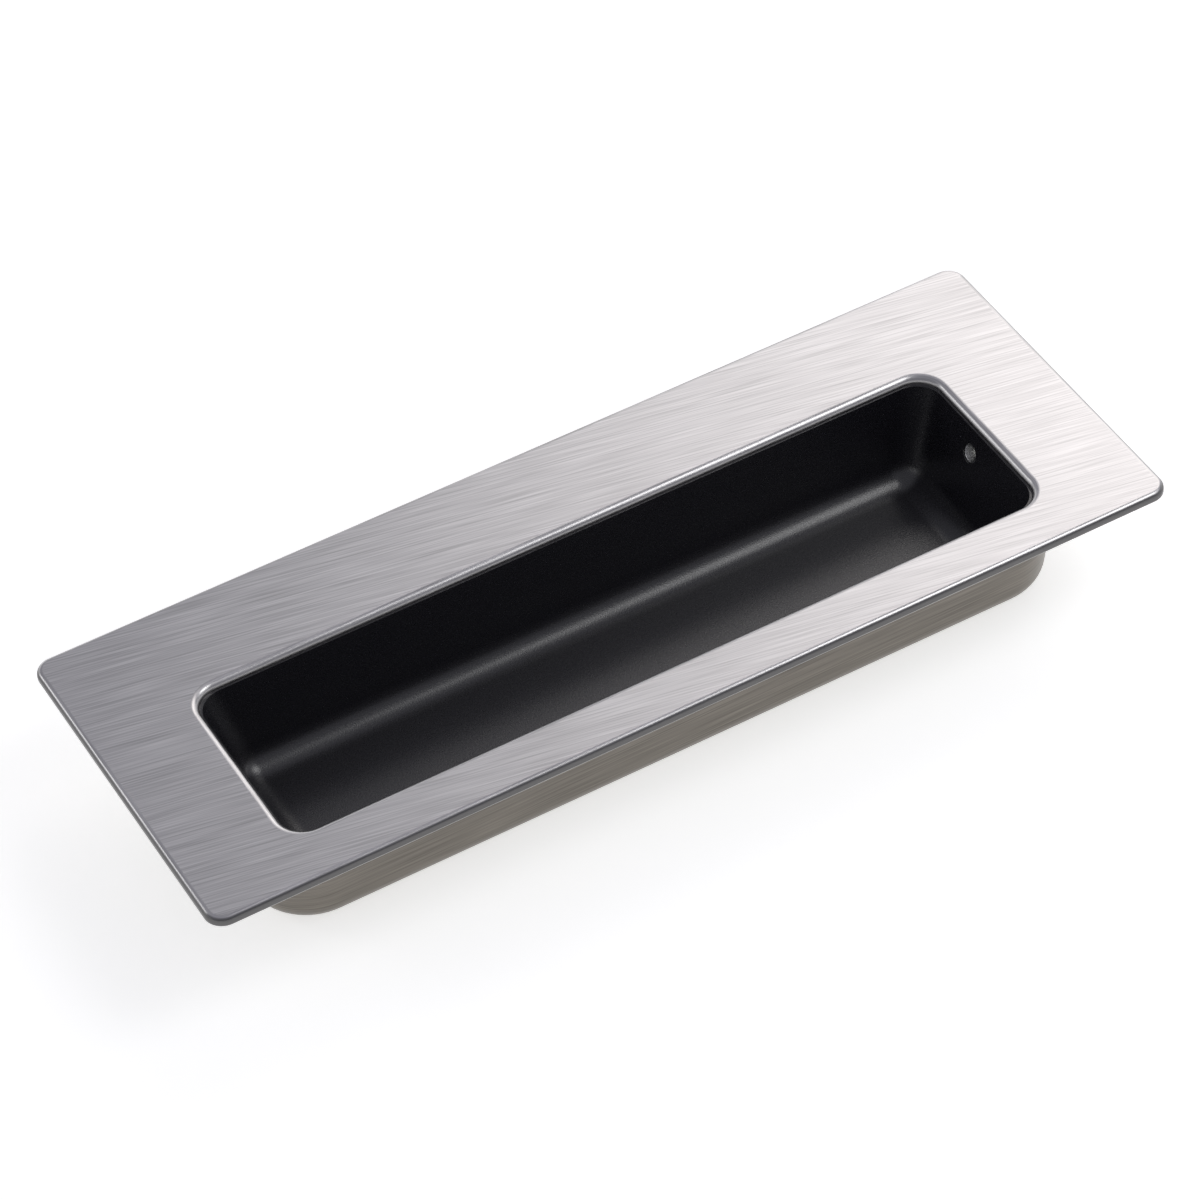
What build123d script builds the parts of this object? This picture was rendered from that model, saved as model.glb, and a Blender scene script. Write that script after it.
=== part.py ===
from build123d import *
import math
import os

# Recessed pull handle. Millimetres and degrees.
# X runs along the plate, Y towards the plate's wide margin, Z out of the door.
# Z = 0 is the bottom of the tray and X = Y = 0 is the middle of the plate.

# Face plate: a flat stamping with a softened edge and a rounded lip round the opening
plate_length = 160.0
plate_width = 60.0
plate_thickness = 1.5
plate_corner_r = 3.0
plate_front_edge_r = 0.9
plate_back_edge_r = 0.2

# Opening for the fingers: the plate's margins leave it nearer to one long edge
plate_end_margin = 17.0
plate_front_margin = 9.0
plate_back_margin = 18.6
opening_corner_r = 4.0
opening_lip_r = 1.25

# Black moulded cup that lines the recess
cup_wall = 1.0
cup_floor = 1.2
cup_depth = 16.4
cup_end_draft = 15.0
cup_side_draft = 5.0
cup_bend_r = 4.5
cup_rim = 1.2
cup_reveal = 0.15
cup_rim_gap = 0.3

# Drawn steel tray behind the plate
tray_thickness = 1.2
tray_end_step = 5.8
tray_side_step = 2.5
tray_corner_r = 10.2
tray_bend_r = 4.2
tray_draft = 5.0
tray_rim_width = 2.5
tray_rim_bend_r = 0.8
tray_edge_r = 0.2

# Shallow recess in the plate's back that locates the tray's rim and leaves the seat for the door round it
recess_depth = 0.2
recess_gap = 0.3

# Screw hole in each end wall, square to the cup's sloping end, with a steel sleeve through both walls
screw_off_middle = 2.0
screw_depth = 5.3
sleeve_bore = 2.6
sleeve_wall = 0.3
sleeve_hole_gap = 0.05
sleeve_inset = 0.15
sleeve_stand_out = 0.2

# The opening follows from the plate and the tray from the opening
opening_length = plate_length - 2 * plate_end_margin
opening_width = plate_width - plate_front_margin - plate_back_margin
opening_y = (plate_front_margin - plate_back_margin) / 2
tray_half_length = opening_length / 2 + tray_end_step
tray_half_width = opening_width / 2 + tray_side_step

# Levels that follow from the sizes above
tray_floor_z = tray_thickness
cup_floor_z = tray_floor_z + cup_floor
recess_z = cup_floor_z + cup_depth
plate_back_z = recess_z - recess_depth
plate_top_z = plate_back_z + plate_thickness

# Sizes of the cup's mouth and of the rim that lies behind the plate
mouth_half_length = opening_length / 2 - cup_reveal
mouth_half_width = opening_width / 2 - cup_reveal
tray_inside = tray_thickness / math.cos(math.radians(tray_draft))
rim_half_length = tray_half_length - tray_inside - cup_rim_gap
rim_half_width = tray_half_width - tray_inside - cup_rim_gap
rim_corner_r = tray_corner_r - tray_thickness - cup_rim_gap

# Axis of the right screw hole: it starts on the cup's end wall and goes outwards and down
screw_y = opening_y + screw_off_middle
screw_z = plate_top_z - screw_depth
end_slope = math.tan(math.radians(cup_end_draft))
side_slope = math.tan(math.radians(cup_side_draft))
tray_slope = math.tan(math.radians(tray_draft))
screw_x = mouth_half_length - (recess_z - screw_z) * end_slope
axis_x = math.cos(math.radians(cup_end_draft))
axis_z = -math.sin(math.radians(cup_end_draft))
sleeve_outer = sleeve_bore + 2 * sleeve_wall
sleeve_hole = sleeve_outer + 2 * sleeve_hole_gap

# Length from the cup's inside face to the tray's outside face, measured along the sleeve's upper side,
# where the tray wall is farthest away
high_x = screw_x + sleeve_outer / 2 * math.sin(math.radians(cup_end_draft))
high_z = screw_z + sleeve_outer / 2 * math.cos(math.radians(cup_end_draft))
wall_x = tray_half_length - (recess_z - high_z) * tray_slope
sleeve_reach = (wall_x - high_x) / (axis_x + axis_z * tray_slope) + sleeve_stand_out
sleeve_length = sleeve_reach - sleeve_inset
cut_over = 4.0
cup_cut = 2 * cup_wall


def wedge(plane, across, half_top, half_bottom, top_z, bottom_z, reach):
    """A prism with two sloping sides, centred on the plane's first direction at the given offset."""
    with BuildPart() as body:
        with BuildSketch(plane):
            Polygon((across - half_top, top_z), (across + half_top, top_z),
                    (across + half_bottom, bottom_z), (across - half_bottom, bottom_z), align=None)
        extrude(amount=reach, both=True)
    return body.part


def tub(half_length, half_width, top_z, bottom_z, slopes, corner_r, bend_r):
    """A solid with four sloping sides, rounded along its four corners and round its bottom."""
    drop = top_z - bottom_z
    low_length = half_length - drop * slopes[0]
    low_width = half_width - drop * slopes[1]
    with BuildPart() as body:
        add(wedge(Plane.XZ, 0, half_length, low_length, top_z, bottom_z, plate_width))
        add(wedge(Plane.YZ, opening_y, half_width, low_width, top_z, bottom_z, plate_length),
            mode=Mode.INTERSECT)
        level = body.edges().filter_by(Axis.X) + body.edges().filter_by(Axis.Y)
        corners = [e for e in body.edges() if e not in level]
        if corner_r == bend_r:
            fillet(corners + list(body.faces().sort_by(Axis.Z)[0].edges()), radius=bend_r)
        else:
            fillet(corners, radius=corner_r)
            fillet(body.faces().sort_by(Axis.Z)[0].edges(), radius=bend_r)
    return body.part


def screw_rod(side, diameter, start, length):
    """A rod on the axis of the right (side 1) or left (side -1) screw hole."""
    origin = (side * (screw_x + start * axis_x), screw_y, screw_z + start * axis_z)
    with BuildPart() as rod:
        with BuildSketch(Plane(origin=origin, z_dir=(side * axis_x, 0, axis_z))):
            Circle(diameter / 2)
        extrude(amount=length)
    return rod.part


# Face plate
cover = tray_rim_width + recess_gap
with BuildPart() as face_plate:
    with BuildSketch(Plane.XY.offset(plate_back_z)):
        RectangleRounded(plate_length, plate_width, plate_corner_r)
        with Locations((0, opening_y)):
            RectangleRounded(opening_length, opening_width, opening_corner_r, mode=Mode.SUBTRACT)
    extrude(amount=plate_thickness)
    top_face = face_plate.faces().sort_by(Axis.Z)[-1]
    fillet(top_face.outer_wire().edges(), radius=plate_front_edge_r)
    top_face = face_plate.faces().sort_by(Axis.Z)[-1]
    fillet(top_face.inner_wires()[0].edges(), radius=opening_lip_r)
    back_face = face_plate.faces().sort_by(Axis.Z)[0]
    fillet(back_face.outer_wire().edges(), radius=plate_back_edge_r)
    with BuildSketch(Plane.XY.offset(plate_back_z)):
        with Locations((0, opening_y)):
            RectangleRounded(2 * (tray_half_length + cover), 2 * (tray_half_width + cover), tray_corner_r + cover)
    extrude(amount=recess_depth, mode=Mode.SUBTRACT)

# Inner cup: outside of the cup and its rim, less the hollow and the two screw holes
wall_along = cup_wall / math.cos(math.radians(cup_end_draft))
wall_across = cup_wall / math.cos(math.radians(cup_side_draft))
cup_slopes = (end_slope, side_slope)
cup_outer_r = cup_bend_r + cup_wall
cup_shell = tub(mouth_half_length + wall_along, mouth_half_width + wall_across,
                recess_z, tray_floor_z, cup_slopes, cup_outer_r, cup_outer_r)
over = 1.0
cup_hollow = tub(mouth_half_length + over * end_slope, mouth_half_width + over * side_slope,
                 recess_z + over, cup_floor_z, cup_slopes, cup_bend_r, cup_bend_r)
with BuildPart() as inner_cup:
    add(cup_shell)
    with BuildSketch(Plane.XY.offset(recess_z)):
        with Locations((0, opening_y)):
            RectangleRounded(2 * rim_half_length, 2 * rim_half_width, rim_corner_r)
    extrude(amount=-cup_rim)
    add(cup_hollow, mode=Mode.SUBTRACT)
    for side in (1, -1):
        add(screw_rod(side, sleeve_hole, -cut_over, cup_cut + cut_over), mode=Mode.SUBTRACT)

# Outer tray: drawn pan with a narrow rim that is bonded to the plate's back
tray_slopes = (tray_slope, tray_slope)
tray_shell = tub(tray_half_length, tray_half_width, recess_z, 0.0, tray_slopes, tray_corner_r, tray_bend_r)
mouth_over = over * tray_slope
tray_hollow = tub(tray_half_length - tray_inside + mouth_over, tray_half_width - tray_inside + mouth_over,
                  recess_z + over, tray_floor_z, tray_slopes,
                  tray_corner_r - tray_thickness, tray_bend_r - tray_thickness)
with BuildPart() as outer_tray:
    add(tray_shell)
    with BuildSketch(Plane.XY.offset(recess_z)):
        with Locations((0, opening_y)):
            RectangleRounded(2 * (tray_half_length + tray_rim_width), 2 * (tray_half_width + tray_rim_width),
                             tray_corner_r + tray_rim_width)
    extrude(amount=-tray_thickness)
    under_rim = outer_tray.faces().filter_by(Plane.XY).sort_by(Axis.Z)[1]
    fillet(under_rim.inner_wires()[0].edges(), radius=tray_rim_bend_r)
    add(tray_hollow, mode=Mode.SUBTRACT)
    rim_top = outer_tray.faces().filter_by(Plane.XY).sort_by(Axis.Z)[-1]
    fillet(rim_top.inner_wires()[0].edges(), radius=tray_rim_bend_r + tray_thickness - tray_edge_r)
    for side in (1, -1):
        add(screw_rod(side, sleeve_hole, cup_cut, sleeve_reach - cup_cut + cut_over), mode=Mode.SUBTRACT)

# Screw sleeves
with BuildPart() as right_screw_sleeve:
    add(screw_rod(1, sleeve_outer, sleeve_inset, sleeve_length))
    add(screw_rod(1, sleeve_bore, -cut_over, sleeve_reach + 2 * cut_over), mode=Mode.SUBTRACT)

with BuildPart() as left_screw_sleeve:
    add(screw_rod(-1, sleeve_outer, sleeve_inset, sleeve_length))
    add(screw_rod(-1, sleeve_bore, -cut_over, sleeve_reach + 2 * cut_over), mode=Mode.SUBTRACT)

face_plate.part.label = "face_plate"
inner_cup.part.label = "inner_cup"
outer_tray.part.label = "outer_tray"
right_screw_sleeve.part.label = "right_screw_sleeve"
left_screw_sleeve.part.label = "left_screw_sleeve"

os.makedirs("parts", exist_ok=True)
export_step(face_plate.part, "parts/face_plate.step")
export_step(inner_cup.part, "parts/inner_cup.step")
export_step(outer_tray.part, "parts/outer_tray.step")
export_step(right_screw_sleeve.part, "parts/right_screw_sleeve.step")
export_step(left_screw_sleeve.part, "parts/left_screw_sleeve.step")
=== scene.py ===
"""Recessed pull handle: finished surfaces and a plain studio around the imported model."""
import math

import bmesh
import bpy
import numpy as np
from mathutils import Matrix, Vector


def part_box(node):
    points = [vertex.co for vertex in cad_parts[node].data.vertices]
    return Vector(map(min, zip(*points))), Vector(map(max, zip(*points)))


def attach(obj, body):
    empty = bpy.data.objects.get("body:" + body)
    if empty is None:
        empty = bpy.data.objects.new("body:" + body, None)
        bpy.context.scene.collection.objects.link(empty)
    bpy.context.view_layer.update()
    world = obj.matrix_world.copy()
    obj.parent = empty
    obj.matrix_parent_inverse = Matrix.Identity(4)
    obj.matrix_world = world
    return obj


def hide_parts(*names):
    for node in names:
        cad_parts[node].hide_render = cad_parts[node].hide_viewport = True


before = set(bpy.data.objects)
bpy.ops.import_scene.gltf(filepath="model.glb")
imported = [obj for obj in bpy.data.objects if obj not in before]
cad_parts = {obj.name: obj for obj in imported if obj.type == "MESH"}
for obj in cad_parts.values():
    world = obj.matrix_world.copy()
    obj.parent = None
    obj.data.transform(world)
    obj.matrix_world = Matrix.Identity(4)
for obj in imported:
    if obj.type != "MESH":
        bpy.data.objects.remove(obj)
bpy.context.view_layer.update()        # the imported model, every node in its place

bl_info = {
    "name": "Recessed Pull Handle",
    "version": (1, 0, 0),
    "blender": (4, 5, 0),
    "location": "View3D > Sidebar > Pull Handle",
    "description": "Builds the plate, cup, tray and sleeves of a recessed pull handle "
                   "with brushed steel and black finishes",
    "category": "Object",
}

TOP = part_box("face_plate")[1][2]          # height of the plate's face
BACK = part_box("face_plate")[0][2]         # height of the plate's back
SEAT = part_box("inner_cup")[1][2]          # height of the recess that the cup's rim lies in
CORNER_COLUMNS = 17                       # columns on each rounded corner
RUN_SHARES = np.array([0.01, 0.12, 0.37, 0.63, 0.88, 0.99])   # columns on each straight run
BEND_STEPS = 12                           # rows on each rounded bend
SHARP_ANGLE = math.radians(35)            # edges folded more than this stay crisp
ROUND_SIDES = 64                          # sides of a drill and of a sleeve
GUARD = 0.00004                           # narrow row beside a bend, which keeps the flat's shading flat
WALL_START = 1.3                          # walls start this many bend radii above the floor
CUP_DRILL = (-0.004, 0.002)               # reach of the drill along the screw's line in the cup
TRAY_DRILL = (0.002, 0.014)               # the same in the tray
SLEEVE_EDGE = 0.3                         # edge of a sleeve, as a share of its wall
ARC_MIDDLE = 0.3                          # middle of a rounded edge, as a share of its radius
CLOSING_SHARES = (0.03, 0.4, 0.7, 1.0)    # rows that close a floor, on the way to its middle line
SAME_POINT = 1e-7                         # points closer than this merge, and a face flatter than this is level

HAIRS = (75, 3900, 1)                     # brush hairs a metre, along and across
BANDS = (35, 1700, 1)                     # broader bands of brushing
BAND_SHARE = 0.2
BRUSH_HEIGHT = 0.00001
ROUGHNESS_SWING = 0.03                    # how much the brush marks change the roughness
PAINTED_SHADE_LEVEL = 0.2                           # brightness of the painted shade on the plate's edges and back, against the face
GRAIN = (4600, 4600, 4600)                # grains a metre on the moulded black
GRAIN_HEIGHT = 0.000018
BLACK_ROUGHNESS = (0.26, 0.34)            # lowest and highest roughness of the moulded black

FLOOR_DROP = 0.00005                      # the floor lies this much below the object
FLOOR_GLOW = 0.62
WORLD_COLOUR = (0.89, 0.89, 1.0, 1)
WORLD_LEVEL = 0.325
WHITE = (1.0, 1.0, 1.0)
WARM = (1.0, 0.955, 0.92)
LAMPS = (                                 # name, place, target, size, brightness of its face and colour
    ("overhead", (0.86, -0.45, 1.12), (0, 0, 0), (0.85, 1.0), 0.5, WHITE),
    ("near", (0.194, -0.119, 0.33), (0, 0, 0), (0.16, 0.16), 2.2, WHITE),
    ("right side", (0.42, 0.38, 0.38), (0.06, 0, 0.02), (0.44, 0.42), 0.80, WARM),
    ("back", (0.32, 0.63, 0.72), (0, 0, 0), (0.35, 0.35), 0.2, WHITE),
    ("back right", (0.62, 0.50, 0.66), (0, 0, 0), (0.4, 0.4), 0.80, WARM),
    ("left rim", (-0.65, 0.63, 0.43), (0, 0, 0), (0.2, 0.2), 3.5, WHITE),
)


# Settings

class PlateSettings(bpy.types.PropertyGroup):
    """Sizes of the face plate"""
    corner: bpy.props.FloatProperty(name="Corner", description="Radius of the plate's corners seen from the front",
                                    default=0.003, subtype='DISTANCE', unit='LENGTH')
    front_edge: bpy.props.FloatProperty(name="Front edge", description="Rounding of the outer edge at the face",
                                        default=0.0009, subtype='DISTANCE', unit='LENGTH')
    back_edge: bpy.props.FloatProperty(name="Back edge", description="Rounding of the outer edge at the back",
                                       default=0.0002, subtype='DISTANCE', unit='LENGTH')
    opening_length: bpy.props.FloatProperty(name="Opening length", description="Length of the finger opening",
                                            default=0.126, subtype='DISTANCE', unit='LENGTH')
    opening_width: bpy.props.FloatProperty(name="Opening width", description="Width of the finger opening",
                                           default=0.0324, subtype='DISTANCE', unit='LENGTH')
    opening_offset: bpy.props.FloatProperty(name="Opening offset",
                                            description="How far the opening's middle lies from the plate's",
                                            default=-0.0048, subtype='DISTANCE', unit='LENGTH')
    opening_corner: bpy.props.FloatProperty(name="Opening corner", description="Radius of the opening's corners",
                                            default=0.004, subtype='DISTANCE', unit='LENGTH')
    lip: bpy.props.FloatProperty(name="Lip", description="Rounding of the opening's edge",
                                 default=0.00125, subtype='DISTANCE', unit='LENGTH')
    cover: bpy.props.FloatProperty(name="Recess overlap",
                                   description="How far the back's recess reaches past the tray's wall",
                                   default=0.0028, subtype='DISTANCE', unit='LENGTH')
    steel: bpy.props.FloatVectorProperty(name="Steel", description="Colour of the plate's brushed steel",
                                         default=(0.68, 0.67, 0.67), size=3, min=0, max=1, subtype='COLOR')
    grain_angle: bpy.props.FloatProperty(name="Grain angle",
                                         description="Direction of the brush marks from the plate's length",
                                         default=math.radians(-11), subtype='ANGLE', unit='ROTATION')


class CupSettings(bpy.types.PropertyGroup):
    """Sizes of the black cup"""
    reveal: bpy.props.FloatProperty(name="Reveal", description="How far the cup's mouth lies inside the opening",
                                    default=0.00015, subtype='DISTANCE', unit='LENGTH')
    wall: bpy.props.FloatProperty(name="Wall", description="Thickness of the cup's walls",
                                  default=0.001, subtype='DISTANCE', unit='LENGTH')
    floor: bpy.props.FloatProperty(name="Floor", description="Thickness of the cup's floor",
                                   default=0.0012, subtype='DISTANCE', unit='LENGTH')
    end_draft: bpy.props.FloatProperty(name="End draft", description="Slope of the end walls",
                                       default=math.radians(15), subtype='ANGLE', unit='ROTATION')
    side_draft: bpy.props.FloatProperty(name="Side draft", description="Slope of the long walls",
                                        default=math.radians(5), subtype='ANGLE', unit='ROTATION')
    bend: bpy.props.FloatProperty(name="Bend", description="Radius where walls and floor meet",
                                  default=0.0045, subtype='DISTANCE', unit='LENGTH')
    rim: bpy.props.FloatProperty(name="Rim", description="Thickness of the rim behind the plate",
                                 default=0.0012, subtype='DISTANCE', unit='LENGTH')
    rim_gap: bpy.props.FloatProperty(name="Rim gap", description="Gap between the rim and the tray's wall",
                                     default=0.0003, subtype='DISTANCE', unit='LENGTH')
    black: bpy.props.FloatVectorProperty(name="Black", description="Colour of the moulded cup",
                                         default=(0.0120, 0.0115, 0.0150), size=3, min=0, max=1, subtype='COLOR')


class TraySettings(bpy.types.PropertyGroup):
    """Sizes of the drawn steel tray"""
    sheet: bpy.props.FloatProperty(name="Sheet", description="Thickness of the drawn sheet",
                                   default=0.0012, subtype='DISTANCE', unit='LENGTH')
    end_step: bpy.props.FloatProperty(name="End step",
                                      description="How far the tray's ends lie outside the opening",
                                      default=0.0058, subtype='DISTANCE', unit='LENGTH')
    side_step: bpy.props.FloatProperty(name="Side step",
                                       description="How far the tray's sides lie outside the opening",
                                       default=0.0025, subtype='DISTANCE', unit='LENGTH')
    corner: bpy.props.FloatProperty(name="Corner", description="Radius of the tray's corners seen from the back",
                                    default=0.0102, subtype='DISTANCE', unit='LENGTH')
    bend: bpy.props.FloatProperty(name="Bend", description="Outside radius where walls and bottom meet",
                                  default=0.0042, subtype='DISTANCE', unit='LENGTH')
    draft: bpy.props.FloatProperty(name="Draft", description="Slope of the tray's walls",
                                   default=math.radians(5), subtype='ANGLE', unit='ROTATION')
    rim_width: bpy.props.FloatProperty(name="Rim width", description="Width of the tray's rim",
                                       default=0.0025, subtype='DISTANCE', unit='LENGTH')
    rim_bend: bpy.props.FloatProperty(name="Rim bend", description="Radius under the tray's rim",
                                      default=0.0008, subtype='DISTANCE', unit='LENGTH')
    # Painted shade: the tray's colour is a duller steel, darkened further to stand in for shade under the plate
    steel: bpy.props.FloatVectorProperty(name="Steel", description="Colour of the tray's duller steel",
                                         default=(0.188, 0.172, 0.151), size=3, min=0, max=1, subtype='COLOR')


class SleeveSettings(bpy.types.PropertyGroup):
    """Sizes of the screw sleeves"""
    off_middle: bpy.props.FloatProperty(name="Off middle",
                                        description="Distance of the screw from the opening's middle line",
                                        default=0.002, subtype='DISTANCE', unit='LENGTH')
    depth: bpy.props.FloatProperty(name="Depth", description="Depth of the screw below the plate's face",
                                   default=0.0053, subtype='DISTANCE', unit='LENGTH')
    bore: bpy.props.FloatProperty(name="Bore", description="Diameter of the sleeve's bore",
                                  default=0.0026, subtype='DISTANCE', unit='LENGTH')
    wall: bpy.props.FloatProperty(name="Wall", description="Thickness of the sleeve",
                                  default=0.0003, subtype='DISTANCE', unit='LENGTH')
    inset: bpy.props.FloatProperty(name="Inset", description="How far the sleeve starts behind the cup's wall",
                                   default=0.00015, subtype='DISTANCE', unit='LENGTH')
    length: bpy.props.FloatProperty(name="Length", description="Length of the sleeve",
                                    default=0.006827, subtype='DISTANCE', unit='LENGTH')
    hole: bpy.props.FloatProperty(name="Hole", description="Diameter of the holes in the cup and the tray",
                                  default=0.0033, subtype='DISTANCE', unit='LENGTH')
    steel: bpy.props.FloatVectorProperty(name="Steel", description="Colour of the turned steel",
                                         default=(0.92, 0.92, 0.91), size=3, min=0, max=1, subtype='COLOR')


class StudioSettings(bpy.types.PropertyGroup):
    """Camera, floor and lamps"""
    azimuth: bpy.props.FloatProperty(name="Azimuth", description="Direction from which the camera looks",
                                     default=math.radians(-26.52636), subtype='ANGLE', unit='ROTATION')
    elevation: bpy.props.FloatProperty(name="Elevation", description="Height angle of the camera",
                                       default=math.radians(45.248806), subtype='ANGLE', unit='ROTATION')
    roll: bpy.props.FloatProperty(name="Roll", description="Turn of the camera about its own line of sight",
                                  default=math.radians(-4.549376), subtype='ANGLE', unit='ROTATION')
    distance: bpy.props.FloatProperty(name="Distance", description="Distance of the camera along its line of sight",
                                      default=0.737006, subtype='DISTANCE', unit='LENGTH')
    slide: bpy.props.FloatVectorProperty(name="Slide",
                                         description="Camera's slide to the right and up, across its line of sight",
                                         default=(-0.00080716, -0.00370467), size=2, unit='LENGTH')
    lens: bpy.props.FloatProperty(name="Lens", description="Focal length in millimetres", default=150.0)
    floor: bpy.props.FloatVectorProperty(name="Floor", description="Colour of the floor and backdrop",
                                         default=(0.93, 0.93, 0.93), size=3, min=0, max=1, subtype='COLOR')


# Surfaces

def column_plan():
    """Signs and turn of every corner column, counter-clockwise from the right end.
    The turn goes from 0 at the end wall's direction to 1 at the side wall's."""
    turn = np.linspace(0, 1, CORNER_COLUMNS)
    side_x = np.repeat([1.0, -1.0, -1.0, 1.0], CORNER_COLUMNS)
    side_y = np.repeat([1.0, 1.0, -1.0, -1.0], CORNER_COLUMNS)
    return side_x, side_y, np.concatenate([turn, 1 - turn, turn, 1 - turn])


SIDE_X, SIDE_Y, TURN = column_plan()


def flat_ring(half_x, half_y, radius, height, middle):
    """Rounded rectangle at one height: each corner's centre plus the radius times (cos a, sin a), where a is a
    quarter circle times the turn."""
    angle = TURN * math.pi / 2
    x = SIDE_X * (half_x - radius + radius * np.cos(angle))
    y = middle + SIDE_Y * (half_y - radius + radius * np.sin(angle))
    return np.stack([x, y, np.full_like(x, height)], axis=1)


class Tub:
    """Four sloping walls whose corners are rounded by a cylinder that leans with both walls. The cylinder's axis is
    where the walls meet when they are moved in by its radius, and a point of the wall is a point of the axis plus
    the radius times a unit direction. That direction swings from one wall's outward normal to the other's on the
    great circle between them."""

    def __init__(self, half_x, half_y, top, end_draft, side_draft, corner, middle):
        self.half = (half_x, half_y)
        self.top, self.corner, self.middle = top, corner, middle
        self.draft = (end_draft, side_draft)
        end = np.array([math.cos(end_draft), 0, -math.sin(end_draft)])
        side = np.array([0, math.cos(side_draft), -math.sin(side_draft)])
        arc = math.acos(end @ side)
        swing = np.outer(np.sin((1 - TURN) * arc), end) + np.outer(np.sin(TURN * arc), side)
        self.out = swing / math.sin(arc) * np.stack([SIDE_X, SIDE_Y, np.ones_like(TURN)], axis=1)

    def axis(self, level):
        """Point of each corner's axis at the given level, one level for each column."""
        x, y = (h - (self.top - level) * math.tan(d) - self.corner / math.cos(d)
                for h, d in zip(self.half, self.draft))
        return np.stack([SIDE_X * x, self.middle + SIDE_Y * y, level], axis=1)

    def wall(self, height, off=0.0):
        """Ring at one height on the wall moved out by off."""
        reach = self.corner + off
        return self.axis(height - reach * self.out[:, 2]) + reach * self.out

    def bend(self, floor, off, radius, share):
        """Ring on the ball-rolled bend between the wall moved out by off and a floor: the ball's centre plus its
        radius times a direction that swings from the wall's normal (share 0) straight down (share 1)."""
        reach = self.corner + off - radius
        centre = self.axis(floor + radius - reach * self.out[:, 2]) + reach * self.out
        arc = np.arccos(-self.out[:, 2])[:, None]
        down = np.array([0, 0, -1.0])
        return centre + radius * (np.sin((1 - share) * arc) * self.out + np.sin(share * arc) * down) / np.sin(arc)

    def bottom(self, floor, off, radius):
        """Rows from the start of the bend to the middle line of the floor, which closes the surface: each floor
        point moves by its share of the way to the nearest point of that line."""
        rows = [self.bend(floor, off, radius, share) for share in np.linspace(0, 1, BEND_STEPS + 1)]
        ring = rows[-1]
        spine = ring.copy()
        reach = np.abs(ring[:, 0]).max() - np.abs(ring[:, 1] - self.middle).max()
        spine[:, 0] = np.clip(ring[:, 0], -reach, reach)
        spine[:, 1] = self.middle
        return rows + [ring + (spine - ring) * share for share in CLOSING_SHARES]


def arc_rows(ring, radius, start, stop, steps):
    """Rows on a rounded edge: ring(out, up) gives the row, where out and up are radius times the cosine and sine of
    an angle that goes from start to stop degrees."""
    angles = np.radians(np.linspace(start, stop, steps + 1))
    return [ring(radius * math.cos(a), radius * math.sin(a)) for a in angles]


def with_runs(rows):
    """Adds columns on the straight runs, at fixed shares of the way from a corner's last column to the next
    corner's first."""
    corners = rows.reshape(len(rows), 4, CORNER_COLUMNS, 3)
    last = corners[:, :, -1:]
    following = np.roll(corners[:, :, :1], -1, axis=1)
    runs = last + (following - last) * RUN_SHARES[None, None, :, None]
    return np.concatenate([corners, runs], axis=2).reshape(len(rows), -1, 3)


def skin(name, rows, grain_angle, closed_loop=False, edge=None):
    """Object whose faces join each row's columns to the next row's. Its map 'grain' holds metres along and across
    the brush marks: the way round and the way down on walls, and the plane turned by the grain angle on flats.
    Edge gives each row's weight of painted shade, a darkening that stands in for dark reflections and shade."""
    rows = with_runs(np.array(rows))
    if closed_loop:
        rows = np.concatenate([rows, rows[:1]])
    count, around = rows.shape[:2]
    index = np.arange(count * around).reshape(count, around)
    next_column = np.roll(index, -1, axis=1)
    quads = np.stack([index[:-1], next_column[:-1], next_column[1:], index[1:]], axis=-1).reshape(-1, 4)
    points = rows.reshape(-1, 3)
    mesh = bpy.data.meshes.new(name)
    mesh.from_pydata(points.tolist(), [], quads.tolist())

    longest = rows[np.argmax(np.ptp(rows[:, :, 0], axis=1))]
    steps = np.linalg.norm(np.roll(longest, -1, axis=0) - longest, axis=1)
    along = np.concatenate([[0.0], np.cumsum(steps)])
    down = np.concatenate([[0.0], np.cumsum(np.linalg.norm(np.diff(rows, axis=0), axis=2).max(axis=1))])
    u = np.tile(np.stack([along[:-1], along[1:], along[1:], along[:-1]], axis=1), (count - 1, 1))
    v = np.repeat(np.stack([down[:-1], down[:-1], down[1:], down[1:]], axis=1), around, axis=0)
    height = points[quads][:, :, 2]
    flat = np.ptp(height, axis=1) < SAME_POINT
    x, y = points[quads][:, :, 0], points[quads][:, :, 1]
    c, s = math.cos(grain_angle), math.sin(grain_angle)
    u[flat] = (x * c + y * s)[flat]
    v[flat] = (y * c - x * s)[flat]
    layer = mesh.uv_layers.new(name="grain")
    layer.data.foreach_set("uv", np.stack([u, v], axis=2).ravel())
    # Painted shade: each row's weight of darkening is kept on the points as the attribute 'edge'
    if edge is not None:
        weights = np.array(list(edge) + [edge[0]] * closed_loop)
        mesh.attributes.new("edge", 'FLOAT', 'POINT').data.foreach_set("value", np.repeat(weights, around))
    return tidy(name, mesh)


def tidy(name, mesh):
    """Merges the points that coincide, turns all faces outwards and keeps folded edges crisp on a smooth surface."""
    work = bmesh.new()
    work.from_mesh(mesh)
    bmesh.ops.remove_doubles(work, verts=work.verts, dist=SAME_POINT)
    bmesh.ops.dissolve_degenerate(work, edges=work.edges, dist=SAME_POINT / 10)
    bmesh.ops.recalc_face_normals(work, faces=work.faces)
    for face in work.faces:
        face.smooth = True
    for edge in work.edges:
        edge.smooth = not (len(edge.link_faces) == 2 and edge.calc_face_angle() > SHARP_ANGLE)
    work.to_mesh(mesh)
    work.free()
    piece = bpy.data.objects.get(name)
    if piece is None:
        piece = bpy.data.objects.new(name, mesh)
        bpy.context.scene.collection.objects.link(piece)
    else:
        piece.data = mesh
    return piece


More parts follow.
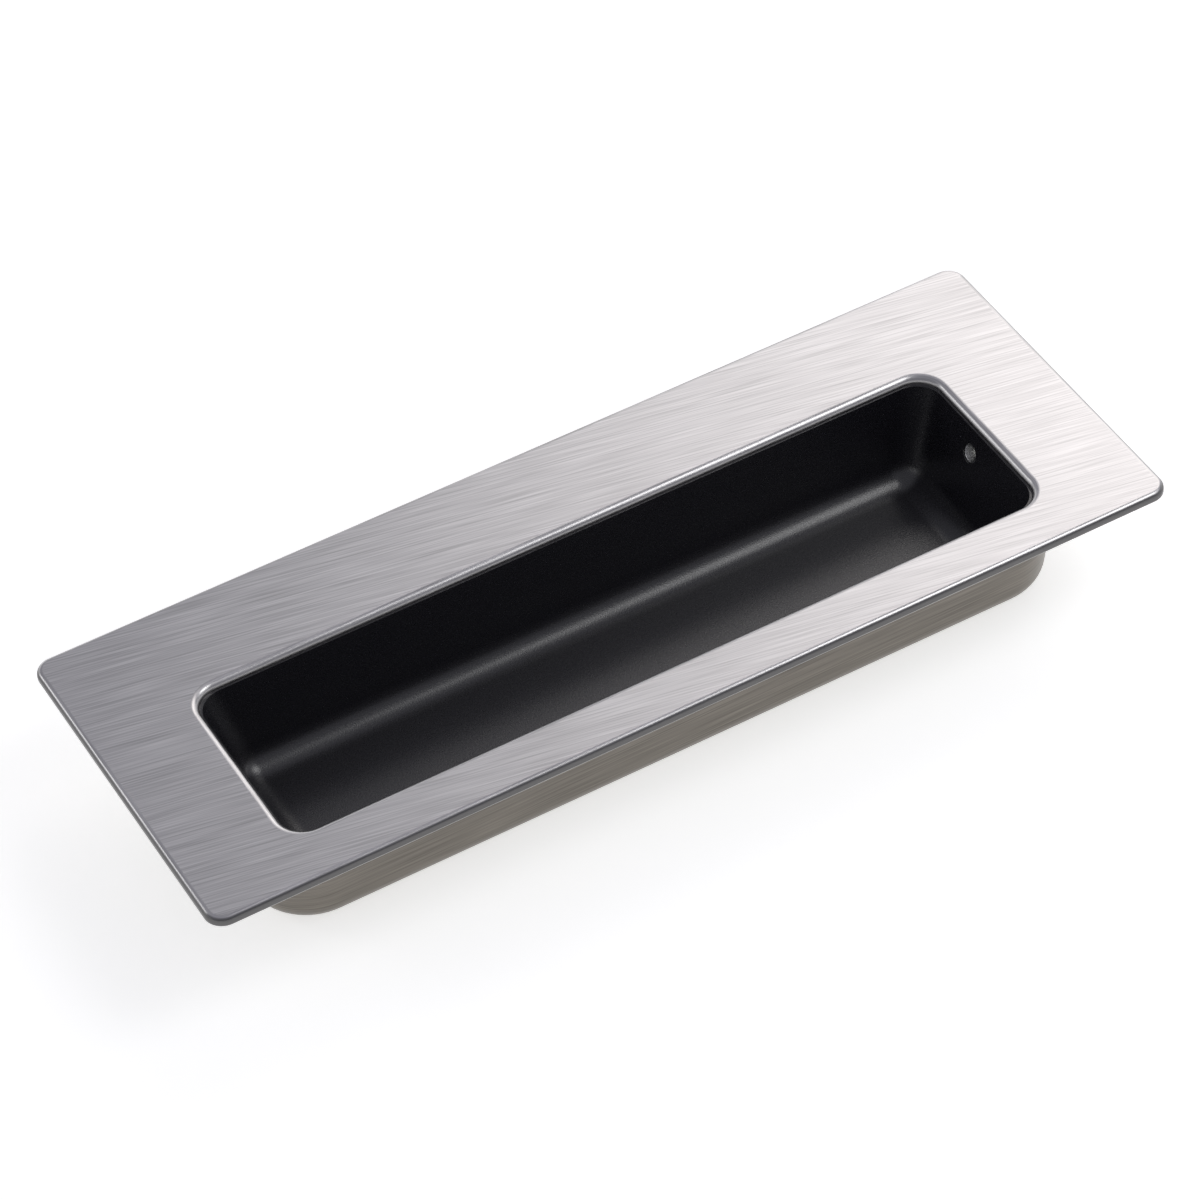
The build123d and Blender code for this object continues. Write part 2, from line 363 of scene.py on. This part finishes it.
def rod(start, direction, radius, length):
    """Closed cylinder: a circle's points start + radius * (cos a * across + sin a * up), and the same moved along."""
    direction = direction / np.linalg.norm(direction)
    across = np.array([0, 1.0, 0])
    up = np.cross(direction, across)
    a = np.linspace(0, 2 * math.pi, ROUND_SIDES, endpoint=False)
    ring = start + radius * (np.outer(np.cos(a), across) + np.outer(np.sin(a), up))
    points = np.concatenate([ring, ring + direction * length])
    i = np.arange(ROUND_SIDES)
    j = np.roll(i, -1)
    quads = np.stack([i, j, j + ROUND_SIDES, i + ROUND_SIDES], axis=1).tolist()
    mesh = bpy.data.meshes.new("drill")
    mesh.from_pydata(points.tolist(), [], quads + [i[::-1].tolist(), (i + ROUND_SIDES).tolist()])
    return tidy("drill", mesh)


def drill(piece, reach):
    """Cuts the screw hole through both ends of a piece. Reach is where the drill starts and ends on its line."""
    start, direction = screw_line()
    radius = bpy.context.scene.pull_sleeves.hole / 2
    for side in (1, -1):
        mirror = np.array([side, 1, 1])
        cutter = rod((start + reach[0] * direction) * mirror, direction * mirror, radius, reach[1] - reach[0])
        cut = piece.modifiers.new("screw hole", 'BOOLEAN')
        cut.operation, cut.solver, cut.object = 'DIFFERENCE', 'EXACT', cutter
        shape = bpy.data.meshes.new_from_object(piece.evaluated_get(bpy.context.evaluated_depsgraph_get()))
        piece.modifiers.remove(cut)
        bpy.data.objects.remove(cutter)
        shape.name = piece.name
        tidy(piece.name, shape)


# Sizes that pieces share

def opening():
    """Half length, half width and middle of the finger opening."""
    plate = bpy.context.scene.pull_plate
    return plate.opening_length / 2, plate.opening_width / 2, plate.opening_offset


def cup_tub():
    """Inside of the cup's walls, whose mouth lies a reveal inside the opening."""
    cup = bpy.context.scene.pull_cup
    half_x, half_y, middle = opening()
    return Tub(half_x - cup.reveal, half_y - cup.reveal, SEAT, cup.end_draft, cup.side_draft, cup.bend, middle)


def tray_tub():
    """Outside of the tray's walls."""
    tray = bpy.context.scene.pull_tray
    half_x, half_y, middle = opening()
    return Tub(half_x + tray.end_step, half_y + tray.side_step, SEAT, tray.draft, tray.draft, tray.corner, middle)


def screw_line():
    """Where the right screw's axis meets the cup's end wall, and its direction square to that wall."""
    sleeves, cup = bpy.context.scene.pull_sleeves, bpy.context.scene.pull_cup
    half_x, _, middle = opening()
    height = TOP - sleeves.depth
    x = half_x - cup.reveal - (SEAT - height) * math.tan(cup.end_draft)
    direction = np.array([math.cos(cup.end_draft), 0, -math.sin(cup.end_draft)])
    return np.array([x, middle + sleeves.off_middle, height]), direction


# Finishes

def new_material(name):
    """Material with one principled shader on its output, its node tree and the shader."""
    material = bpy.data.materials.new(name)
    material.use_nodes = True
    tree = material.node_tree
    tree.nodes.clear()
    output = tree.nodes.new('ShaderNodeOutputMaterial')
    shader = tree.nodes.new('ShaderNodeBsdfPrincipled')
    tree.links.new(shader.outputs['BSDF'], output.inputs['Surface'])
    return material, tree, shader


def stretched_noise(tree, source, scale, detail=0.0):
    """Noise on metres that are stretched by a scale for each direction."""
    mapping = tree.nodes.new('ShaderNodeMapping')
    mapping.inputs['Scale'].default_value = scale
    noise = tree.nodes.new('ShaderNodeTexNoise')
    noise.inputs['Scale'].default_value = 1.0
    noise.inputs['Detail'].default_value = detail
    noise.inputs['Roughness'].default_value = 0.5
    tree.links.new(source, mapping.inputs['Vector'])
    tree.links.new(mapping.outputs['Vector'], noise.inputs['Vector'])
    return noise.outputs['Fac']


def ramp(tree, value, low, high, low_to, high_to):
    """Value between low and high, spread between low_to and high_to."""
    node = tree.nodes.new('ShaderNodeMapRange')
    for socket, number in zip(('From Min', 'From Max', 'To Min', 'To Max'), (low, high, low_to, high_to)):
        node.inputs[socket].default_value = number
    tree.links.new(value, node.inputs['Value'])
    return node.outputs['Result']


def seen_directly(tree, strength):
    """The strength for rays from the camera and in mirrors and glass, and nothing for other light."""
    path = tree.nodes.new('ShaderNodeLightPath')
    total = path.outputs['Is Camera Ray']
    for kind in ('Is Glossy Ray', 'Is Transmission Ray'):
        either = tree.nodes.new('ShaderNodeMath')
        either.operation = 'MAXIMUM'
        tree.links.new(total, either.inputs[0])
        tree.links.new(path.outputs[kind], either.inputs[1])
        total = either.outputs['Value']
    scale = tree.nodes.new('ShaderNodeMath')
    scale.operation = 'MULTIPLY'
    scale.inputs[1].default_value = strength
    tree.links.new(total, scale.inputs[0])
    return scale.outputs['Value']


def shaded(tree, value, colour, dark, light):
    """Colour whose strength goes from dark to light with the value."""
    node = tree.nodes.new('ShaderNodeMix')
    node.data_type = 'RGBA'
    node.inputs['A'].default_value = [c * dark for c in colour] + [1]
    node.inputs['B'].default_value = [min(c * light, 1) for c in colour] + [1]
    tree.links.new(value, node.inputs['Factor'])
    return node.outputs['Result']


def average(tree, first, second, share):
    """Mix of two values."""
    node = tree.nodes.new('ShaderNodeMix')
    node.inputs['Factor'].default_value = share
    tree.links.new(first, node.inputs['A'])
    tree.links.new(second, node.inputs['B'])
    return node.outputs['Result']


def brushed_steel(name, colour, rough, contrast, bump, edge=None):
    """Steel with fine brush marks along the map 'grain': thin hairs over broader bands change the colour, the
    roughness and the height a little. The attribute 'edge' blends to the colour times edge, as painted shade."""
    material, tree, shader = new_material(name)
    uv = tree.nodes.new('ShaderNodeUVMap')
    uv.uv_map = "grain"
    hairs = stretched_noise(tree, uv.outputs['UV'], HAIRS, detail=1.0)
    bands = stretched_noise(tree, uv.outputs['UV'], BANDS)
    marks = ramp(tree, average(tree, hairs, bands, BAND_SHARE), 0.25, 0.75, 0.0, 1.0)
    tone = shaded(tree, marks, colour, 1 - contrast, 1 + contrast)
    # Painted shade: the attribute 'edge' darkens the colour where reflections turn dark and under the plate
    if edge:
        rim = tree.nodes.new('ShaderNodeAttribute')
        rim.attribute_name = "edge"
        cut = tree.nodes.new('ShaderNodeMix')
        cut.data_type = 'RGBA'
        cut.inputs['B'].default_value = [c * edge for c in colour] + [1]
        tree.links.new(rim.outputs['Fac'], cut.inputs['Factor'])
        tree.links.new(tone, cut.inputs['A'])
        tone = cut.outputs['Result']
    tree.links.new(tone, shader.inputs['Base Color'])
    gloss = ramp(tree, marks, 0, 1, rough - ROUGHNESS_SWING, rough + ROUGHNESS_SWING)
    tree.links.new(gloss, shader.inputs['Roughness'])
    shader.inputs['Metallic'].default_value = 1.0
    height = tree.nodes.new('ShaderNodeBump')
    height.inputs['Strength'].default_value = bump
    height.inputs['Distance'].default_value = BRUSH_HEIGHT
    tree.links.new(marks, height.inputs['Height'])
    tree.links.new(height.outputs['Normal'], shader.inputs['Normal'])
    return material


def moulded_black(name, colour):
    """Black moulding with a fine even grain in its height and gloss."""
    material, tree, shader = new_material(name)
    place = tree.nodes.new('ShaderNodeTexCoord')
    fine = stretched_noise(tree, place.outputs['Object'], GRAIN)
    shader.inputs['Base Color'].default_value = (*colour, 1)
    shader.inputs['Specular IOR Level'].default_value = 1.0
    tree.links.new(ramp(tree, fine, 0.35, 0.65, *BLACK_ROUGHNESS), shader.inputs['Roughness'])
    height = tree.nodes.new('ShaderNodeBump')
    height.inputs['Strength'].default_value = 0.6
    height.inputs['Distance'].default_value = GRAIN_HEIGHT
    tree.links.new(fine, height.inputs['Height'])
    tree.links.new(height.outputs['Normal'], shader.inputs['Normal'])
    return material


def turned_steel(name, colour):
    """Bright plain steel, a little soft."""
    material, tree, shader = new_material(name)
    shader.inputs['Base Color'].default_value = (*colour, 1)
    shader.inputs['Roughness'].default_value = 0.26
    shader.inputs['Metallic'].default_value = 1.0
    return material


def finish_piece(piece, node, material):
    """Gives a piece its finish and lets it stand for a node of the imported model."""
    piece.data.materials.clear()
    piece.data.materials.append(material)
    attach(piece, "root")
    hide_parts(node)


# Operators

class PULL_OT_face_plate(bpy.types.Operator):
    """Build the brushed face plate with its rounded edge and lip"""
    bl_idname = "pull.face_plate"
    bl_label = "Face plate"

    def execute(self, context):
        plate, tray = context.scene.pull_plate, context.scene.pull_tray
        low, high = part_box("face_plate")
        size_x, size_y = (high[0] - low[0]) / 2, (high[1] - low[1]) / 2
        half_x, half_y, middle = opening()

        def outside(inset, height):
            return flat_ring(size_x - inset, size_y - inset, plate.corner - inset, height, 0.0)

        def lip(outset, height):
            return flat_ring(half_x + outset, half_y + outset, plate.opening_corner + outset, height, middle)

        def recess(height):
            reach = plate.cover
            return flat_ring(half_x + tray.end_step + reach, half_y + tray.side_step + reach,
                             tray.corner + reach, height, middle)

        e, b, r = plate.front_edge, plate.back_edge, plate.lip
        # Up the opening's lip, over the face, down the outer edge and back along the plate's back
        rows = [lip(0, SEAT)]
        rows += arc_rows(lambda out, up: lip(r + out, TOP - r + up), r, 180, 90, BEND_STEPS)
        rows += [lip(r + GUARD, TOP), outside(e + GUARD, TOP)]
        rows += arc_rows(lambda out, up: outside(e - out, TOP - e + up), e, 90, 0, BEND_STEPS)
        rows += [outside(0, TOP - e - GUARD), outside(0, BACK + b + GUARD)]
        rows += arc_rows(lambda out, up: outside(b - out, BACK + b + up), b, 0, -90, 4)
        rows += [outside(b + 5 * GUARD, BACK), recess(BACK), recess(SEAT)]
        # Painted shade: the lip darkens on its way down, the outer edge on its way round to the side, the back a
        # little
        turn = np.linspace(0, 90, BEND_STEPS + 1)
        dark = [0.3] + list(np.interp(turn[::-1], (25, 50, 75, 90), (0, 0.45, 0.45, 0.1))) + [0, 0]
        dark += list(np.interp(turn, (25, 50), (0, 1))) + [1, 1] + [0.5] * 5 + [0.3, 0.3, 0.3]
        piece = skin("face_plate_skin", rows, plate.grain_angle, closed_loop=True, edge=dark)
        steel = brushed_steel("brushed plate", plate.steel, rough=0.31, contrast=0.26, bump=0.05, edge=PAINTED_SHADE_LEVEL)
        finish_piece(piece, "face_plate", steel)
        return {'FINISHED'}


class PULL_OT_inner_cup(bpy.types.Operator):
    """Build the black cup with its sloping walls, ball corners and rim"""
    bl_idname = "pull.inner_cup"
    bl_label = "Inner cup"

    def execute(self, context):
        cup, tray = context.scene.pull_cup, context.scene.pull_tray
        tub = cup_tub()
        half_x, half_y, middle = opening()
        sheet = tray.sheet / math.cos(tray.draft)
        rim_x = half_x + tray.end_step - sheet - cup.rim_gap
        rim_y = half_y + tray.side_step - sheet - cup.rim_gap
        rim_corner = tray.corner - tray.sheet - cup.rim_gap
        under = SEAT - cup.rim
        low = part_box("inner_cup")[0][2]
        inside = tub.bottom(low + cup.floor, 0.0, cup.bend)
        outside = tub.bottom(low, cup.wall, cup.bend + cup.wall)
        rows = inside[::-1]
        rows += [tub.wall(h) for h in np.linspace(low + cup.floor + WALL_START * cup.bend, SEAT, 5)]
        rows += [flat_ring(rim_x, rim_y, rim_corner, height, middle) for height in (SEAT, under)]
        rows += [tub.wall(h, cup.wall) for h in np.linspace(under, low + WALL_START * cup.bend, 4)]
        rows += outside
        piece = skin("inner_cup_skin", rows, 0.0)
        drill(piece, CUP_DRILL)
        finish_piece(piece, "inner_cup", moulded_black("moulded black", cup.black))
        return {'FINISHED'}


class PULL_OT_outer_tray(bpy.types.Operator):
    """Build the drawn steel tray with its rim"""
    bl_idname = "pull.outer_tray"
    bl_label = "Outer tray"

    def execute(self, context):
        tray = context.scene.pull_tray
        tub = tray_tub()
        half_x, half_y, middle = opening()
        wall_x, wall_y = half_x + tray.end_step, half_y + tray.side_step
        t, r = tray.sheet, tray.rim_bend
        under = SEAT - t

        def rim(outset, height):
            return flat_ring(wall_x + outset, wall_y + outset, tray.corner + outset, height, middle)

        inside = tub.bottom(t, -t, tray.bend - t)
        outside = tub.bottom(0.0, 0.0, tray.bend)
        rows = inside[::-1]
        rows += [tub.wall(h, -t) for h in np.linspace(tray.bend * WALL_START, SEAT - r - t, 4)]
        rows += arc_rows(lambda out, up: rim(r + out, SEAT - r - t + up), r + t, 175, 90, 8)[1:]
        rows += [rim(tray.rim_width, SEAT), rim(tray.rim_width, under)]
        rows += arc_rows(lambda out, up: rim(r + out, under - r + up), r, 90, 175, 6)[:-1]
        rows += [tub.wall(h) for h in np.linspace(under - r, tray.bend * WALL_START, 4)]
        rows += outside
        piece = skin("outer_tray_skin", rows, 0.0)
        drill(piece, TRAY_DRILL)
        # The tray's steel colour carries painted shade for the shade under the plate
        steel = brushed_steel("brushed tray", tray.steel, rough=0.33, contrast=0.34, bump=0.05)
        finish_piece(piece, "outer_tray", steel)
        return {'FINISHED'}


class PULL_OT_screw_sleeves(bpy.types.Operator):
    """Build the two turned sleeves that line the screw holes"""
    bl_idname = "pull.screw_sleeves"
    bl_label = "Screw sleeves"

    def execute(self, context):
        """A profile of distances along the sleeve and radii is turned about the screw's axis: up the outside,
        round the mouth's small edge, down the bore and round the far edge."""
        sleeves = context.scene.pull_sleeves
        material = turned_steel("turned steel", sleeves.steel)
        start, direction = screw_line()
        first, last = sleeves.inset, sleeves.inset + sleeves.length
        inner, outer = sleeves.bore / 2, sleeves.bore / 2 + sleeves.wall
        e = sleeves.wall * SLEEVE_EDGE
        m = e * ARC_MIDDLE
        profile = np.array([(last - e, outer), (first + e, outer), (first + m, outer - m), (first, outer - e),
                            (first, inner + e), (first + m, inner + m), (first + e, inner),
                            ((first + last) / 2, inner), (last - e, inner), (last, inner + e), (last, outer - e)])
        across = np.array([0, 1.0, 0])
        turn = np.linspace(0, 2 * math.pi, ROUND_SIDES, endpoint=False)
        ring = np.outer(np.cos(turn), across) + np.outer(np.sin(turn), np.cross(direction, across))
        points = start + profile[:, None, :1] * direction + profile[:, None, 1:] * ring[None]
        index = np.arange(points[:, :, 0].size).reshape(points.shape[:2])
        following, beside = np.roll(index, -1, axis=0), np.roll(index, -1, axis=1)
        quads = np.stack([index, beside, np.roll(following, -1, axis=1), following], axis=-1).reshape(-1, 4)
        for node, side in (("right_screw_sleeve", 1), ("left_screw_sleeve", -1)):
            mesh = bpy.data.meshes.new(node + "_skin")
            mesh.from_pydata((points * [side, 1, 1]).reshape(-1, 3).tolist(), [], quads.tolist())
            piece = tidy(node + "_skin", mesh)
            finish_piece(piece, node, material)
        return {'FINISHED'}


class PULL_OT_studio(bpy.types.Operator):
    """Set the floor, the lamps and the camera"""
    bl_idname = "pull.studio"
    bl_label = "Studio"

    def execute(self, context):
        self.floor(context)
        self.lamps(context)
        self.camera(context)
        return {'FINISHED'}

    def floor(self, context):
        """Floor disc whose edge rises as a backdrop: past the flat part, the distance grows with the sine of an
        angle and the height with 1 less its cosine."""
        flat = np.concatenate([[0.0], np.linspace(0.5, 1.4, 4)])
        rise = np.linspace(0.1, 1.35, 14)
        radius = np.concatenate([flat, flat[-1] + np.sin(rise)])
        height = np.concatenate([np.zeros_like(flat), 1.0 - np.cos(rise)])
        a = np.linspace(0, 2 * math.pi, 96, endpoint=False)
        rings = np.stack([np.outer(radius, np.cos(a)), np.outer(radius, np.sin(a)),
                          np.repeat(height[:, None], len(a), axis=1) - FLOOR_DROP], axis=2)
        index = np.arange(rings[:, :, 0].size).reshape(rings.shape[:2])
        turned = np.roll(index, -1, axis=1)
        quads = np.stack([index[:-1], index[1:], turned[1:], turned[:-1]], axis=-1).reshape(-1, 4)
        mesh = bpy.data.meshes.new("floor")
        mesh.from_pydata(rings.reshape(-1, 3).tolist(), [], quads.tolist())
        piece = tidy("floor", mesh)
        material, tree, shader = new_material("pale floor")
        shader.inputs['Base Color'].default_value = (*context.scene.pull_studio.floor, 1)
        shader.inputs['Roughness'].default_value = 0.8
        shader.inputs['Specular IOR Level'].default_value = 0.2
        shader.inputs['Emission Color'].default_value = (1.0, 1.0, 0.98, 1)
        tree.links.new(seen_directly(tree, FLOOR_GLOW), shader.inputs['Emission Strength'])
        piece.data.materials.append(material)

    def lamps(self, context):
        """Even light from all sides and the lamps of the list."""
        world = bpy.data.worlds.new("studio")
        world.use_nodes = True
        tree = world.node_tree
        background = tree.nodes['Background']
        background.inputs['Color'].default_value = WORLD_COLOUR
        background.inputs['Strength'].default_value = WORLD_LEVEL
        context.scene.world = world
        for lamp in LAMPS:
            self.lamp(*lamp)

    def lamp(self, name, place, target, size, level, colour):
        """Soft rectangular lamp that looks at its target. The level is the brightness of its face."""
        data = bpy.data.lights.new(name, 'AREA')
        data.shape = 'RECTANGLE'
        data.size, data.size_y = size
        data.energy = level * math.pi * size[0] * size[1]
        data.color = colour
        piece = bpy.data.objects.new(name, data)
        bpy.context.scene.collection.objects.link(piece)
        piece.location = place
        aim = Vector(target) - Vector(place)
        piece.rotation_euler = aim.to_track_quat('-Z', 'Y').to_euler()
        piece.visible_camera = False

    def camera(self, context):
        """Camera whose axes are the rows right, up and back, as the angles give them. It stands at the distance
        along back, and the slide moves it across."""
        s = context.scene.pull_studio
        back = np.array([math.sin(s.azimuth) * math.cos(s.elevation), -math.cos(s.azimuth) * math.cos(s.elevation),
                         math.sin(s.elevation)])
        right = np.cross([0, 0, 1.0], back)
        right /= np.linalg.norm(right)
        up = np.cross(back, right)
        turned = math.cos(s.roll) * right + math.sin(s.roll) * up
        up = math.cos(s.roll) * up - math.sin(s.roll) * right
        place = np.array([0, 0, TOP]) + s.slide[0] * turned + s.slide[1] * up + s.distance * back
        data = bpy.data.cameras.new("camera")
        data.lens, data.sensor_width, data.sensor_fit = s.lens, 36.0, 'HORIZONTAL'
        data.clip_start = 0.01
        piece = bpy.data.objects.new("camera", data)
        bpy.context.scene.collection.objects.link(piece)
        matrix = np.eye(4)
        matrix[:3, 0], matrix[:3, 1], matrix[:3, 2], matrix[:3, 3] = turned, up, back, place
        piece.matrix_world = Matrix(matrix.tolist())
        context.scene.camera = piece
        context.scene.view_settings.view_transform = 'Standard'


class PULL_PT_sidebar(bpy.types.Panel):
    """Sizes, colours and build buttons of the pull handle"""
    bl_idname = "PULL_PT_sidebar"
    bl_label = "Pull Handle"
    bl_space_type = 'VIEW_3D'
    bl_region_type = 'UI'
    bl_category = "Pull Handle"

    def draw(self, context):
        for operator, group in BUILD_ORDER:
            box = self.layout.box()
            box.operator(operator)
            settings = getattr(context.scene, group)
            for prop in settings.bl_rna.properties:
                if prop.identifier not in ("rna_type", "name"):
                    box.prop(settings, prop.identifier)


BUILD_ORDER = (
    ("pull.face_plate", "pull_plate"),
    ("pull.inner_cup", "pull_cup"),
    ("pull.outer_tray", "pull_tray"),
    ("pull.screw_sleeves", "pull_sleeves"),
    ("pull.studio", "pull_studio"),
)
SETTINGS = {
    "pull_plate": PlateSettings,
    "pull_cup": CupSettings,
    "pull_tray": TraySettings,
    "pull_sleeves": SleeveSettings,
    "pull_studio": StudioSettings,
}
CLASSES = (*SETTINGS.values(), PULL_OT_face_plate, PULL_OT_inner_cup, PULL_OT_outer_tray, PULL_OT_screw_sleeves,
           PULL_OT_studio, PULL_PT_sidebar)


def register():
    for cls in CLASSES:
        bpy.utils.register_class(cls)
    for name, group in SETTINGS.items():
        setattr(bpy.types.Scene, name, bpy.props.PointerProperty(type=group))


def unregister():
    for name in SETTINGS:
        delattr(bpy.types.Scene, name)
    for cls in reversed(CLASSES):
        bpy.utils.unregister_class(cls)


def main():
    register()
    for operator, _ in BUILD_ORDER:
        category, name = operator.split(".")
        getattr(getattr(bpy.ops, category), name)()


if __name__ == "__main__":
    main()
